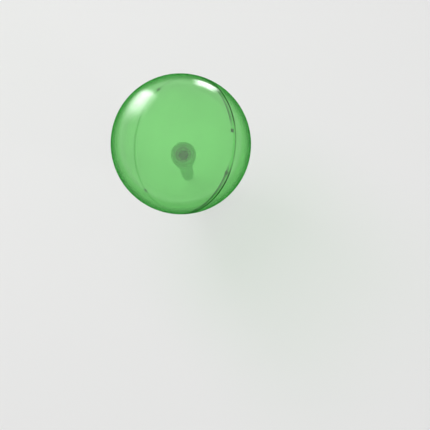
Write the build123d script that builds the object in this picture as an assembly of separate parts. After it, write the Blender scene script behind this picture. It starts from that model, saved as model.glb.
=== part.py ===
from build123d import *
import os
from math import asin, atan2, cos, degrees, hypot, radians, sin, sqrt

# Watering globe: a thin hollow ball of two glued half shells, on a stem that stands in the soil.
# Millimetres, +Z up along the stem. The origin is on the stem's axis at the soil line, where the
# tube leaves the underside of its socket. +X is the side on which the ball's seam runs high.

# Ball: two half shells that lap at an oblique seam
ball_radius = 42.5
shell_wall = 1.4
seam_tilt = 41.5
lap_height = 1.6
tongue_wall = 0.65
lap_clearance = 0.05

# Locating lugs on the lower shell's tongue, and the notches above it that take them.
# The angles run round the seam from its high side, and the whole set is turned.
lug_angles = (-17.0, 17.0, 127.0, 233.0)
lug_turn = -14.0
lug_width = 2.0
lug_depth = 0.8
lug_rise = 1.0
lug_ramp = 1.0
lug_lead = 0.4
lug_root = 0.3
lug_clearance = 0.1

# Neck glued into a hole in the lower shell: boss in the hole, collar under it, spigot, bore
boss_radius = 7.2
collar_radius = 8.6
collar_drop = 1.2
collar_edge = 0.4
neck_radius = 6.0
neck_length = 12.0
neck_edge = 0.6
neck_bore_radius = 3.5
funnel_radius = 6.5
funnel_depth = 2.8
funnel_round = 1.5
glue_clearance = 0.05

# Seal ring in its groove, drawn round, just clear of the bore that squeezes it
seal_section_radius = 0.8
seal_clearance = 0.05
seal_below_collar = 5.0
groove_width = 2.0

# Socket between ball and tube
neck_clearance = 0.08
neck_gap = 0.8
mouth_lead = 0.5
ledge_wall = 1.2
sleeve_depth = 9.0
rim_height = 2.6
rim_edge = 0.5
grip_radius = 8.1
grip_base = 6.0
foot_radius = 7.1
foot_edge = 0.7

# Finger flutes round the socket
flute_count = 14
flute_radius = 1.2
flute_depth = 0.4
flute_margin = 0.9

# Stem tube, with a reduced end that is glued into the socket up to its shoulder
tube_radius = 5.5
tube_wall = 1.5
tube_length = 110.0
tube_end_wall = 1.0
tube_end_gap = 0.3
tube_end_edge = 0.3

# Drip tip that closes the tube's lower end
plug_length = 8.0
plug_edge = 0.5
tip_radius = 5.2
tip_shoulder_edge = 0.4
tip_body_length = 13.0
tip_cone_length = 17.0
tip_point_radius = 1.0
tip_bore_radius = 2.4
slot_count = 4
slot_turn = 45.0
slot_width = 1.8
slot_length = 8.0
slot_top_gap = 2.5

# How far every cutter runs past what it cuts
overrun = 1.0

# Heights and radii that follow from the sizes above
inner_radius = ball_radius - shell_wall
socket_floor = sleeve_depth + ledge_wall
socket_top = socket_floor + neck_gap + neck_length
ball_bottom = socket_top + collar_drop
ball_centre = ball_bottom + ball_radius
neck_end = socket_top - neck_length
seal_height = socket_top - seal_below_collar
socket_bore_radius = neck_radius + neck_clearance
rim_radius = collar_radius
tube_bore_radius = tube_radius - tube_wall
tube_end_radius = tube_bore_radius + tube_end_wall
seal_ring_radius = socket_bore_radius - seal_clearance - seal_section_radius
groove_floor_radius = seal_ring_radius - seal_section_radius - seal_clearance

# The seam's own frame: its XY plane is the joint between the shells, its Z is the upper pole
seam_frame = Location((0, 0, ball_centre), (0, -seam_tilt, 0))


def turned(*edges):
    """Body of revolution about Z from the edges of a closed outline of radii and heights."""
    outline = edges[0]
    for edge in edges[1:]:
        outline += edge
    return revolve(Plane.XZ * make_face(outline), Axis.Z)


def turned_polygon(*points):
    """Body of revolution about Z from the corners of a closed outline of radii and heights."""
    return turned(Polyline(*points, close=True))


def sphere_height(radius, off_axis):
    """How far a sphere's surface is above its centre at this distance from its axis."""
    return sqrt(radius**2 - off_axis**2)


def upper_half():
    """Upper dome with the rebate that takes the tongue, in the seam's frame."""
    rebate_radius = inner_radius + tongue_wall + lap_clearance
    rebate_depth = lap_height + lap_clearance
    shelf_inner = sphere_height(inner_radius, rebate_depth)
    shelf_angle = degrees(asin(rebate_depth / inner_radius))
    return turned(
        CenterArc((0, 0), ball_radius, 0, 90),
        Polyline(
            (ball_radius, 0),
            (rebate_radius, 0),
            (rebate_radius, rebate_depth),
            (shelf_inner, rebate_depth),
        ),
        CenterArc((0, 0), inner_radius, shelf_angle, 90 - shelf_angle),
        Line((0, inner_radius), (0, ball_radius)),
    )


def lower_half():
    """Lower bowl with its tongue, in the seam's frame."""
    tongue_radius = inner_radius + tongue_wall
    return turned(
        CenterArc((0, 0), ball_radius, -90, 90),
        Polyline(
            (ball_radius, 0),
            (tongue_radius, 0),
            (tongue_radius, lap_height),
            (inner_radius, lap_height),
            (inner_radius, 0),
        ),
        CenterArc((0, 0), inner_radius, -90, 90),
        Line((0, -inner_radius), (0, -ball_radius)),
    )


def lug():
    """One locating lug at the seam's high side, in the seam's frame."""
    top = lap_height + lug_rise
    root = inner_radius + lug_root
    face = inner_radius - lug_depth
    outline = make_face(
        Polyline(
            (root, top),
            (face + lug_lead, top),
            (face, top - lug_lead),
            (face, lug_ramp),
            (inner_radius, 0),
            (root, 0),
            close=True,
        )
    )
    return extrude(Plane.XZ * outline, amount=lug_width / 2, both=True)


def notch():
    """Cutter for the notch that takes one lug, with its clearance, in the seam's frame."""
    inside = inner_radius - lug_depth - overrun
    outside = inner_radius + lug_root + lug_clearance
    top = lap_height + lug_rise + lug_clearance
    outline = make_face(
        Polyline(
            (inside, top),
            (outside, top),
            (outside, 0),
            (inside, 0),
            close=True,
        )
    )
    return extrude(Plane.XZ * outline, amount=lug_width / 2 + lug_clearance, both=True)


def upper_shell():
    """Upper half of the ball, with its rebate and four notches."""
    shell = upper_half()
    for angle in lug_angles:
        shell -= Rot(0, 0, lug_turn + angle) * notch()
    return seam_frame * shell


def lower_shell():
    """Lower half of the ball, with its tongue, four lugs and the hole for the neck."""
    shell = lower_half()
    for angle in lug_angles:
        shell += Rot(0, 0, lug_turn + angle) * lug()
    hole_depth = ball_radius - sphere_height(inner_radius, boss_radius) + overrun
    hole = Cylinder(
        boss_radius + glue_clearance,
        hole_depth + overrun,
        align=(Align.CENTER, Align.CENTER, Align.MIN),
    )
    return seam_frame * shell - Pos(0, 0, ball_bottom - overrun) * hole


def neck():
    """Funnel, boss, collar and grooved spigot in one moulding."""
    seat_radius = ball_radius + glue_clearance
    boss_top = ball_centre - sphere_height(inner_radius, boss_radius)
    boss_base = ball_centre - sphere_height(seat_radius, boss_radius)
    collar_top = ball_centre - sphere_height(seat_radius, collar_radius)
    seat_middle = (boss_radius + collar_radius) / 2
    throat = (neck_bore_radius, boss_top - funnel_depth)
    groove_low = seal_height - groove_width / 2
    groove_high = seal_height + groove_width / 2
    outline = make_face(
        Polyline(
            throat,
            (funnel_radius, boss_top),
            (boss_radius, boss_top),
            (boss_radius, boss_base),
        )
        + ThreePointArc(
            (boss_radius, boss_base),
            (seat_middle, ball_centre - sphere_height(seat_radius, seat_middle)),
            (collar_radius, collar_top),
        )
        + Polyline(
            (collar_radius, collar_top),
            (collar_radius, socket_top + collar_edge),
            (collar_radius - collar_edge, socket_top),
            (neck_radius, socket_top),
            (neck_radius, groove_high),
            (groove_floor_radius, groove_high),
            (groove_floor_radius, groove_low),
            (neck_radius, groove_low),
            (neck_radius, neck_end + neck_edge),
            (neck_radius - neck_edge, neck_end),
            (neck_bore_radius, neck_end),
            throat,
        )
    )
    corner = outline.vertices().sort_by_distance(throat)[0]
    return revolve(Plane.XZ * fillet(corner, funnel_round), Axis.Z)


def neck_seal():
    """Rubber ring in the spigot's groove."""
    section = Pos(seal_ring_radius, seal_height) * Circle(seal_section_radius)
    return revolve(Plane.XZ * section, Axis.Z)


def flute():
    """Cutter for one finger flute with round ends, upright at the socket's +X side."""
    low = grip_base + flute_margin + flute_radius
    high = socket_top - rim_height - flute_margin - flute_radius
    place = grip_radius - flute_depth + flute_radius
    groove = Pos(place, 0, (low + high) / 2) * Cylinder(flute_radius, high - low)
    groove += Pos(place, 0, low) * Sphere(flute_radius)
    groove += Pos(place, 0, high) * Sphere(flute_radius)
    return groove


def neck_socket():
    """Cup that takes the spigot above and the tube below, with a fluted grip."""
    rim_low = socket_top - rim_height
    step = rim_radius - grip_radius
    sleeve_radius = tube_end_radius + glue_clearance
    socket = turned_polygon(
        (sleeve_radius, 0),
        (foot_radius - foot_edge, 0),
        (foot_radius, foot_edge),
        (grip_radius, grip_base),
        (grip_radius, rim_low - step),
        (rim_radius, rim_low),
        (rim_radius, socket_top - rim_edge),
        (rim_radius - rim_edge, socket_top),
        (socket_bore_radius + mouth_lead, socket_top),
        (socket_bore_radius, socket_top - mouth_lead),
        (socket_bore_radius, socket_floor),
        (tube_bore_radius, socket_floor),
        (tube_bore_radius, sleeve_depth),
        (sleeve_radius, sleeve_depth),
    )
    for index in range(flute_count):
        socket -= Rot(0, 0, 360 * index / flute_count) * flute()
    return socket


def stem_tube():
    """Tube down to the drip tip, with the reduced end that goes up into the socket's sleeve."""
    tube_top = sleeve_depth - tube_end_gap
    return turned_polygon(
        (tube_bore_radius, -tube_length),
        (tube_radius, -tube_length),
        (tube_radius, 0),
        (tube_end_radius, 0),
        (tube_end_radius, tube_top - tube_end_edge),
        (tube_end_radius - tube_end_edge, tube_top),
        (tube_bore_radius, tube_top),
    )


def drip_slot():
    """Cutter for one outlet slot, upright on the tip's +X side, from within the bore outwards."""
    centre = -tube_length - slot_top_gap - slot_length / 2
    inside = tip_bore_radius / 2
    face = Plane.YZ * Pos(0, centre) * SlotOverall(slot_length, slot_width, rotation=90)
    return Pos(inside, 0, 0) * extrude(face, amount=tip_radius + overrun - inside)


def drip_tip():
    """Pointed plug with a blind bore and four outlet slots."""
    plug_radius = tube_bore_radius - glue_clearance
    cone_top = -tube_length - tip_body_length
    point_centre = cone_top - tip_cone_length + tip_point_radius
    point_drop = cone_top - point_centre
    side_angle = atan2(tip_radius, point_drop) - asin(tip_point_radius / hypot(tip_radius, point_drop))
    middle_angle = (side_angle + radians(90)) / 2
    round_start = (tip_point_radius * cos(side_angle), point_centre - tip_point_radius * sin(side_angle))
    tip = turned(
        Polyline(
            (0, plug_length - tube_length),
            (plug_radius - plug_edge, plug_length - tube_length),
            (plug_radius, plug_length - plug_edge - tube_length),
            (plug_radius, -tube_length),
            (tip_radius - tip_shoulder_edge, -tube_length),
            (tip_radius, -tube_length - tip_shoulder_edge),
            (tip_radius, cone_top),
            round_start,
        ),
        ThreePointArc(
            round_start,
            (tip_point_radius * cos(middle_angle), point_centre - tip_point_radius * sin(middle_angle)),
            (0, point_centre - tip_point_radius),
        ),
        Line((0, point_centre - tip_point_radius), (0, plug_length - tube_length)),
    )
    bore_end = -tube_length - slot_top_gap - slot_length
    point_share = 0.58
    tip -= turned_polygon(
        (0, plug_length - tube_length + overrun),
        (tip_bore_radius, plug_length - tube_length + overrun),
        (tip_bore_radius, bore_end),
        (0, bore_end - tip_bore_radius * point_share),
    )
    for index in range(slot_count):
        tip -= Rot(0, 0, slot_turn + 360 * index / slot_count) * drip_slot()
    return tip


pieces = {
    "upper_shell": upper_shell,
    "lower_shell": lower_shell,
    "neck": neck,
    "neck_seal": neck_seal,
    "neck_socket": neck_socket,
    "stem_tube": stem_tube,
    "drip_tip": drip_tip,
}

os.makedirs("parts", exist_ok=True)
for name, make in pieces.items():
    export_step(make(), f"parts/{name}.step")
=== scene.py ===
import logging
import math
from dataclasses import dataclass, field
from enum import Enum
from typing import Any

import bmesh
import bpy
from mathutils import Matrix, Vector


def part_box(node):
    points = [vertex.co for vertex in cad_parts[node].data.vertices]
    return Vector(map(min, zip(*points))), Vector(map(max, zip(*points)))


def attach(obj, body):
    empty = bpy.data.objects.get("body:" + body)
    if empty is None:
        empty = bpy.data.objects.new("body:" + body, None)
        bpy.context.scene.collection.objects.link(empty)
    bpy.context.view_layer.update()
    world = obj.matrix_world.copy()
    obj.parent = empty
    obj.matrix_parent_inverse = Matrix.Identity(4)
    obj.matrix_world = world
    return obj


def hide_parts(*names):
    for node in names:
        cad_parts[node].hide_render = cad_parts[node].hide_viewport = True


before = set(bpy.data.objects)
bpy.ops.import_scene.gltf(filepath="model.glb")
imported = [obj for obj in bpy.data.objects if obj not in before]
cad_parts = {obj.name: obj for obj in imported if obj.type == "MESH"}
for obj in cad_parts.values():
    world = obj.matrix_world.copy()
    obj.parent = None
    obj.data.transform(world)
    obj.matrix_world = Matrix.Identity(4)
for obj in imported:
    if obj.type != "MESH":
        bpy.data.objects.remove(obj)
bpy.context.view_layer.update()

log = logging.getLogger("watering_globe")

Triple = tuple[float, float, float]
Pair = tuple[float, float]
Piece, Material = bpy.types.Object, bpy.types.Material
Node, Socket, Tree = bpy.types.Node, bpy.types.NodeSocket, bpy.types.NodeTree
GEOMETRY, MATERIAL = "NodeSocketGeometry", "NodeSocketMaterial"
OBJECT, VECTOR = "NodeSocketObject", "NodeSocketVector"
NUMBERS = {int: "NodeSocketInt", float: "NodeSocketFloat"}

MM = 0.001

# A turned point closer to the axis than this, in millimetres, is a pole.
ON_AXIS = 1e-6

# Corners of a closed solid that are closer than this, in metres, are merged.
MERGED = 1e-7

# The most of a side that the fillet at its end may take.
FILLET_SHARE = 0.48

# Fillets of moulded edges in millimetres, from the crispest to the broadest.
CRISP, FINE, LIP, EDGE, SOFT, BLUNT, BROAD, WIDE, FULL = 0.08, 0.1, 0.12, 0.15, 0.2, 0.25, 0.3, 0.5, 0.6


@dataclass
class Outline:
    """Closed outline of radii and heights in millimetres, for a solid turned about Z."""

    corners: list[Triple] = field(default_factory=list)

    def to(self, radius: float, height: float, fillet: float = 0.0) -> "Outline":
        """Adds a corner, rounded if it has a fillet."""
        self.corners.append((radius, height, fillet))
        return self

    def run(self, radius: float, height: float, steps: int, fillet: float = 0.0) -> "Outline":
        """Adds a straight run from the last corner, cut into steps.

        Args:
            radius: the run's last radius.
            height: the run's last height.
            steps: how many edges the run has.
            fillet: the rounding of the run's last corner.

        Returns:
            The outline itself.
        """
        from_radius, from_height, _ = self.corners[-1]
        for step in range(1, steps):
            share = step / steps
            between = from_radius + (radius - from_radius) * share
            self.to(between, from_height + (height - from_height) * share)
        return self.to(radius, height, fillet)

    def arc(self, centre: float, radius: float, start: float, end: float, steps: int) -> "Outline":
        """Adds points on a circle whose centre lies on the axis.

        Args:
            centre: the height of the circle's centre.
            radius: the circle's radius.
            start: the angle of the first point above the horizontal, in degrees.
            end: the angle of the last point.
            steps: how many edges the arc has.

        Returns:
            The outline itself.
        """
        for step in range(steps + 1):
            angle = math.radians(start + (end - start) * step / steps)
            self.to(max(0.0, radius * math.cos(angle)), centre + radius * math.sin(angle))
        return self

    def points(self, steps: int = 5) -> list[Pair]:
        """Gives the outline's points, with each fillet as an arc.

        Args:
            steps: how many edges a fillet has.

        Returns:
            The radii and heights in order.
        """
        made: list[Pair] = []
        for index, (radius, height, fillet) in enumerate(self.corners):
            if fillet <= 0:
                made.append((radius, height))
                continue
            here = Vector((radius, height))
            before = Vector(self.corners[index - 1][:2]) - here
            after = Vector(self.corners[(index + 1) % len(self.corners)][:2]) - here
            half = before.angle(after) / 2
            reach = min(fillet / math.tan(half), before.length * FILLET_SHARE, after.length * FILLET_SHARE)
            middle = (before.normalized() + after.normalized()).normalized()
            centre = here + middle * (reach * math.tan(half) / math.sin(half))
            first = here + before.normalized() * reach - centre
            last = here + after.normalized() * reach - centre
            turn = first.angle_signed(last)
            for step in range(steps + 1):
                spoke = Matrix.Rotation(-turn * step / steps, 2) @ first
                made.append((max(0.0, centre.x + spoke.x), centre.y + spoke.y))
        return made


def new_piece(name: str, corners: list[Any], faces: list[tuple[int, ...]], closed: bool = True) -> Piece:
    """Makes an object at the origin and links it to the scene.

    Args:
        name: the object's name.
        corners: the corners' places in metres.
        faces: each face's corners, by number.
        closed: whether it is a closed solid, which gets outward faces and loses its doubled corners.

    Returns:
        The object.
    """
    mesh = bpy.data.meshes.new(name)
    mesh.from_pydata(corners, [], faces)
    if closed:
        build = bmesh.new()
        build.from_mesh(mesh)
        bmesh.ops.remove_doubles(build, verts=build.verts, dist=MERGED)
        bmesh.ops.recalc_face_normals(build, faces=build.faces)
        build.to_mesh(mesh)
        build.free()
    piece = bpy.data.objects.new(name, mesh)
    bpy.context.scene.collection.objects.link(piece)
    return piece


def turned(name: str, outline: Outline, segments: int) -> Piece:
    """Turns a closed outline about Z into a closed solid.

    Args:
        name: the new object's name.
        outline: the outline.
        segments: how many steps make a full turn.

    Returns:
        The object.
    """
    corners: list[Triple] = []
    rings: list[list[int]] = []
    for radius, height in outline.points():
        count = 1 if radius < ON_AXIS else segments
        rings.append([len(corners) + step for step in range(count)])
        for step in range(count):
            angle = math.tau * step / segments
            corners.append((radius * MM * math.cos(angle), radius * MM * math.sin(angle), height * MM))
    faces = []
    for ring, following in zip(rings, rings[1:] + rings[:1]):
        if len(ring) == len(following) == 1:
            continue
        for step in range(segments):
            here, there = (ring[(step + ahead) % len(ring)] for ahead in (0, 1))
            above, beyond = (following[(step + ahead) % len(following)] for ahead in (0, 1))
            faces.append(tuple(dict.fromkeys((here, there, beyond, above))))
    return new_piece(name, corners, faces)


def prism(name: str, outline: list[Triple], push: Vector) -> Piece:
    """Makes a closed prism from a flat outline.

    Args:
        name: the new object's name.
        outline: the corners of one end, in millimetres.
        push: the way from that end to the other, in millimetres.

    Returns:
        The object.
    """
    count = len(outline)
    corners = [(Vector(corner) + shift) * MM for shift in (Vector(), push) for corner in outline]
    sides = [(near, count + near, count + (near + 1) % count, (near + 1) % count) for near in range(count)]
    ends = [tuple(range(count)), tuple(range(2 * count - 1, count - 1, -1))]
    return new_piece(name, corners, ends + sides)


def keep_result(piece: Piece) -> None:
    """Makes what the piece's modifiers give its plain mesh, and removes them.

    Args:
        piece: the object.
    """
    depsgraph = bpy.context.evaluated_depsgraph_get()
    made = bpy.data.meshes.new_from_object(piece.evaluated_get(depsgraph))
    old = piece.data
    piece.data = made
    piece.modifiers.clear()
    made.name = piece.name
    bpy.data.meshes.remove(old)


def discard(piece: Piece) -> None:
    """Removes a helper object and its mesh.

    Args:
        piece: the helper.
    """
    mesh = piece.data
    bpy.data.objects.remove(piece)
    bpy.data.meshes.remove(mesh)


def settle(piece: Piece, node: str, body: str, material: Material, crease: float = 32.0) -> None:
    """Shades and dresses a piece, gives it its place in the frame and reports it.

    Args:
        piece: the piece, with its final shape.
        node: the CAD node that it stands for.
        body: the CAD body that carries it.
        material: the piece's material.
        crease: the angle in degrees past which an edge stays sharp.
    """
    piece.data.shade_smooth()
    piece.data.set_sharp_from_angle(angle=math.radians(crease))
    piece.modifiers.new("flats", "WEIGHTED_NORMAL").keep_sharp = True
    keep_result(piece)
    piece.data.materials.clear()
    piece.data.materials.append(material)
    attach(piece, body)
    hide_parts(node)
    low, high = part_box(node)
    corners = [Vector(corner) for corner in piece.bound_box]
    own_low, own_high = Vector(map(min, zip(*corners))), Vector(map(max, zip(*corners)))
    gap = max(map(abs, [*(own_low - low), *(own_high - high)])) / MM
    count = len(piece.data.polygons)
    log.info("%s: %d faces, within %.2f mm of the box of %s", piece.name, count, gap, node)


class Graph:
    """Adds nodes to a node tree in short calls. A value can be a number, a colour, a socket or a node."""

    def __init__(self, tree: Tree) -> None:
        """Takes the tree to work on."""
        self.tree = tree

    def add(self, kind: str, feeds: dict[Any, Any] | None = None, **settings: Any) -> Node:
        """Adds one node.

        Args:
            kind: the node's type name.
            feeds: the value for each input, by its name or number.
            settings: the node's own properties.

        Returns:
            The new node.
        """
        node = self.tree.nodes.new(kind)
        for key, value in settings.items():
            setattr(node, key, value)
        for key, value in (feeds or {}).items():
            socket = node.inputs[key]
            if isinstance(value, Node):
                value = value.outputs[0]
            if isinstance(value, Socket):
                self.tree.links.new(value, socket)
            else:
                socket.default_value = (*value, 1.0) if socket.type == "RGBA" else value
        return node

    def maths(self, operation: str, *values: Any, clamp: bool = False) -> Socket:
        """Adds a maths node."""
        feeds = dict(enumerate(values))
        return self.add("ShaderNodeMath", feeds, operation=operation, use_clamp=clamp).outputs[0]

    def times(self, first: Any, *others: Any) -> Socket:
        """Multiplies two or more values.

        Args:
            first: the first value.
            others: what it is multiplied by.

        Returns:
            The product.
        """
        for other in others:
            first = self.maths("MULTIPLY", first, other)
        return first

    def minus(self, first: Any, second: Any) -> Socket:
        """Takes the second value from the first."""
        return self.maths("SUBTRACT", first, second)

    def gap(self, value: Any, middle: Any) -> Socket:
        """Gives how far a value is from a middle one."""
        return self.maths("ABSOLUTE", self.minus(value, middle))

    def vector(self, operation: str, *values: Any) -> Node:
        """Adds a vector maths node."""
        return self.add("ShaderNodeVectorMath", dict(enumerate(values)), operation=operation)

    def split(self, place: Any) -> list[Socket]:
        """Gives the three coordinates of a place."""
        return list(self.add("ShaderNodeSeparateXYZ", {0: place}).outputs)

    def off_axis(self, place: Any) -> Socket:
        """Gives a place's distance from the Z axis."""
        return self.vector("LENGTH", self.vector("MULTIPLY", place, (1.0, 1.0, 0.0))).outputs["Value"]

    def noise(self, place: Any, scale: Any, **feeds: float) -> Socket:
        """Adds a noise texture."""
        return self.add("ShaderNodeTexNoise", {"Vector": place, "Scale": scale, **feeds}).outputs[0]

    def spread(self, value: Any, low: float, high: float, to_low: Any, to_high: Any) -> Socket:
        """Maps a value from one range to another, smoothly and clamped."""
        feeds = {0: value, 1: low, 2: high, 3: to_low, 4: to_high}
        return self.add("ShaderNodeMapRange", feeds, interpolation_type="SMOOTHSTEP").outputs[0]

    def mixed(self, share: Any, first: Any, second: Any) -> Socket:
        """Mixes two colours, which are inputs 6 and 7 of this node, and its output 2."""
        return self.add("ShaderNodeMix", {0: share, 6: first, 7: second}, data_type="RGBA").outputs[2]

    def blend(self, share: Any, first: Any, second: Any) -> Node:
        """Mixes two shaders."""
        return self.add("ShaderNodeMixShader", {0: share, 1: first, 2: second})


def new_tree(name: str, kind: str, inputs: dict[str, Any], outputs: dict[str, str]) -> tuple[Graph, Any]:
    """Makes a node tree with named sockets.

    Args:
        name: the tree's name.
        kind: the tree's type.
        inputs: each input's first value if it is a number, or else its socket type, by name.
        outputs: each output's socket type, by name.

    Returns:
        A graph on the new tree, and the sockets that bring its inputs.
    """
    graph = Graph(bpy.data.node_groups.new(name, kind))
    for label, value in inputs.items():
        socket_type = NUMBERS.get(type(value), value)
        socket = graph.tree.interface.new_socket(label, in_out="INPUT", socket_type=socket_type)
        if type(value) in NUMBERS:
            socket.default_value = value
    for label, socket_type in outputs.items():
        graph.tree.interface.new_socket(label, in_out="OUTPUT", socket_type=socket_type)
    return graph, graph.add("NodeGroupInput").outputs


def new_material(name: str) -> tuple[Material, Graph]:
    """Makes an empty node material.

    Args:
        name: the material's name.

    Returns:
        The material and a graph on its tree.
    """
    material = bpy.data.materials.new(name)
    material.use_nodes = True
    material.node_tree.nodes.clear()
    return material, Graph(material.node_tree)


def apply_rule(piece: Piece, tree: Tree, values: dict[str, Any], blank: Piece | None = None) -> None:
    """Runs a geometry tree on a piece and keeps the result as its plain mesh.

    Args:
        piece: the object that the tree works on.
        tree: the geometry tree.
        values: the tree's inputs, by name.
        blank: the object that the tree copies, which isn't kept.
    """
    modifier = piece.modifiers.new("rule", "NODES")
    modifier.node_group = tree
    values = {"Blank": blank, **values}
    for socket in tree.interface.items_tree:
        if socket.item_type == "SOCKET" and socket.in_out == "INPUT" and socket.name in values:
            modifier[socket.identifier] = values[socket.name]
    keep_result(piece)
    if blank:
        discard(blank)


class Copies(Enum):
    """What a tree does with the copies of its blank, in Blender's words."""

    ADDED = "UNION"
    CUT_OUT = "DIFFERENCE"


class Rules:
    """The geometry trees for what repeats round the globe."""

    def __init__(self) -> None:
        """Builds each tree once."""
        self.lugs = self._seam_tree("seam_lugs", Copies.ADDED)
        self.notches = self._seam_tree("seam_notches", Copies.CUT_OUT)
        self.flutes = self._flute_tree()
        self.slots = self._slot_tree()

    @staticmethod
    def _start(name: str, inputs: dict[str, Any]) -> tuple[Graph, Any]:
        """Starts a tree that takes and gives geometry and sets a material."""
        inputs = {"Geometry": GEOMETRY, **inputs, "Material": MATERIAL}
        return new_tree(name, "GeometryNodeTree", inputs, {"Geometry": GEOMETRY})

    @staticmethod
    def _end(graph: Graph, shape: Node, given: Any) -> Tree:
        """Ends a tree in Realize Instances and Set Material.

        Args:
            graph: the tree's graph.
            shape: the node that gives the final shape.
            given: the sockets that bring the tree's inputs.

        Returns:
            The tree.
        """
        plain = graph.add("GeometryNodeRealizeInstances", {0: shape})
        dressed = graph.add("GeometryNodeSetMaterial", {"Geometry": plain, "Material": given["Material"]})
        graph.add("NodeGroupOutput", {0: dressed})
        return graph.tree

    def _with_copies(self, graph: Graph, given: Any, count: Any, angle: Socket, use: Copies) -> Tree:
        """Ends a tree that adds copies of a blank to a piece or cuts them out of it.

        Args:
            graph: the tree's graph.
            given: the sockets that bring the tree's inputs.
            count: how many copies there are.
            angle: each copy's turn about Z.
            use: what becomes of the copies.

        Returns:
            The tree.
        """
        points = graph.add("GeometryNodePoints", {"Count": count})
        blank = graph.add("GeometryNodeObjectInfo", {"Object": given["Blank"]}).outputs["Geometry"]
        turn = graph.add("ShaderNodeCombineXYZ", {2: angle})
        feeds = {"Points": points, "Instance": blank, "Rotation": turn}
        copies = graph.add("GeometryNodeInstanceOnPoints", feeds)
        solid = graph.add("GeometryNodeRealizeInstances", {0: copies})
        joined = graph.add("GeometryNodeMeshBoolean", operation=use.value, solver="EXACT")
        first = 0 if use is Copies.CUT_OUT else 1
        graph.tree.links.new(given["Geometry"], joined.inputs[first])
        graph.tree.links.new(solid.outputs[0], joined.inputs[1])
        return self._end(graph, joined, given)

    def _seam_tree(self, name: str, use: Copies) -> Tree:
        """Builds the tree that adds or cuts one blank at four places round the seam.

        Args:
            name: the tree's name.
            use: what becomes of the copies.

        Returns:
            The tree.
        """
        inputs = {"Blank": OBJECT, "Near Angle": 0.3, "Far Angle": 2.2, "Turn": 0.0}
        graph, given = self._start(name, inputs)
        index = graph.add("GeometryNodeInputIndex").outputs[0]
        side = graph.maths("MULTIPLY_ADD", graph.maths("MODULO", index, 2.0), 2.0, -1.0)
        is_far = graph.maths("GREATER_THAN", index, 1.5)
        near = graph.times(graph.minus(1.0, is_far), given["Near Angle"])
        angle = graph.maths("ADD", near, graph.times(is_far, given["Far Angle"]))
        angle = graph.maths("MULTIPLY_ADD", side, angle, given["Turn"])
        return self._with_copies(graph, given, 4, angle, use)

    def _slot_tree(self) -> Tree:
        """Builds the tree that cuts evenly spaced copies of a blank out of a turned piece.

        Returns:
            The tree.
        """
        graph, given = self._start("outlet_slots", {"Blank": OBJECT, "Count": 4, "Turn": 0.0})
        index = graph.add("GeometryNodeInputIndex")
        pitch = graph.maths("DIVIDE", math.tau, given["Count"])
        angle = graph.maths("MULTIPLY_ADD", index, pitch, given["Turn"])
        return self._with_copies(graph, given, given["Count"], angle, Copies.CUT_OUT)

    def _flute_tree(self) -> Tree:
        """Builds the tree that presses round-ended finger flutes into a turned grip.

        Returns:
            The tree.
        """
        inputs = {"Count": 14, "Grip Radius": 0.008, "Least Radius": 0.007, "Flute Radius": 0.0012}
        inputs |= {"Depth": 0.0004, "Middle": 0.012, "Half Length": 0.004, "Softness": 0.00006}
        graph, given = self._start("finger_flutes", inputs)
        place = graph.add("GeometryNodeInputPosition")
        x, y, z = graph.split(place)
        radius = graph.off_axis(place)
        pitch = graph.maths("DIVIDE", math.tau, given["Count"])
        angle = graph.maths("ARCTAN2", y, x)
        angle = graph.maths("WRAP", angle, graph.times(pitch, 0.5), graph.times(pitch, -0.5))
        across = graph.times(angle, given["Grip Radius"])
        beyond = graph.minus(graph.gap(z, given["Middle"]), given["Half Length"])
        along = graph.maths("MAXIMUM", beyond, 0.0)
        off = graph.maths("MULTIPLY_ADD", across, across, graph.times(along, along))
        flute = given["Flute Radius"]
        sunk = graph.minus(graph.times(flute, flute), off)
        sagitta = graph.maths("SQRT", graph.maths("MAXIMUM", sunk, 0.0))
        press = graph.minus(sagitta, graph.minus(flute, given["Depth"]))
        depth = graph.maths("SMOOTH_MAX", press, 0.0, given["Softness"])
        share = graph.maths("DIVIDE", graph.minus(radius, depth), radius)
        flat = graph.add("ShaderNodeCombineXYZ", {0: share, 1: share, 2: 1.0})
        feeds = {
            "Geometry": given["Geometry"],
            "Selection": graph.maths("GREATER_THAN", radius, given["Least Radius"]),
            "Position": graph.vector("MULTIPLY", place, flat),
        }
        return self._end(graph, graph.add("GeometryNodeSetPosition", feeds), given)


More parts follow.
